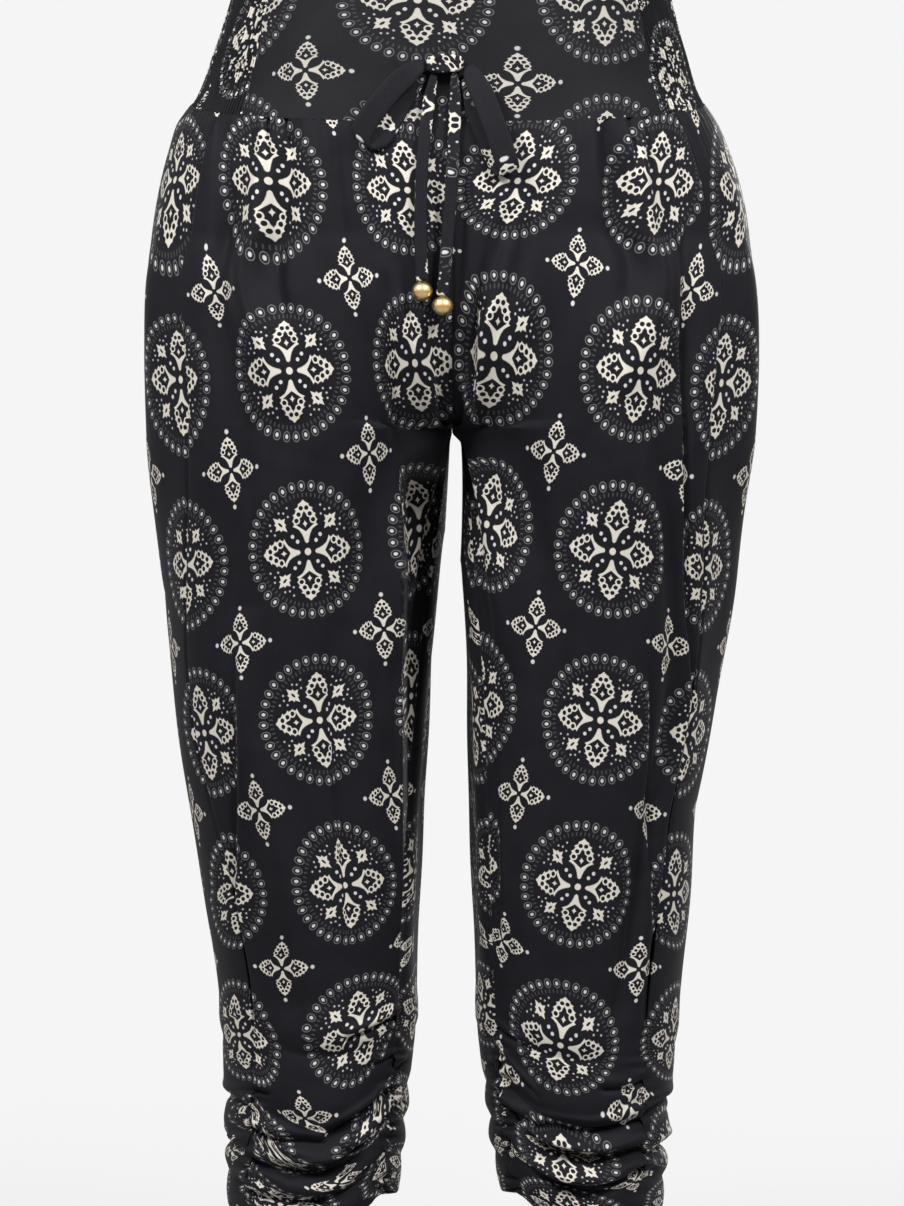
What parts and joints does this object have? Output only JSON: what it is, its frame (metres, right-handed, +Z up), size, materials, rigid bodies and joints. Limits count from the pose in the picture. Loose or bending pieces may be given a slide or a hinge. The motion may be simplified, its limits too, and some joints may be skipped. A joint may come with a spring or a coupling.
{
  "type": "capri trousers",
  "caption": "Capri trousers in printed jersey, worn and hollow, with a wide flat yoke, smocked sides, pleated legs ruched at the hems, and a beaded tie.",
  "frame": {"origin": "the centre of the waist opening, level with the yoke's top edge, where the wearer's waist holds the garment", "axes": "+Z up along the wearer, -Y the garment's front, +X the wearer's left"},
  "size_m": [0.4033, 0.2684, 0.8334],
  "materials": {
    "jersey": "matte printed viscose jersey",
    "yoke": "matte printed viscose jersey",
    "smocking": "shirred matte jersey",
    "tie": "matte printed viscose jersey",
    "bead": "satin gold"
  },
  "bodies": {
    "root": {"yoke_front": "yoke", "yoke_back": "yoke", "smocked_left": "smocking", "smocked_right": "smocking", "left_leg_front": "jersey", "left_leg_back": "jersey", "right_leg_front": "jersey", "right_leg_back": "jersey", "tie_knot": "tie", "tie_loop_left": "tie", "tie_loop_right": "tie", "tie_tail_left": "tie", "tie_tail_right": "tie", "bead_left": "bead", "bead_right": "bead"}
  },
  "joints": []
}
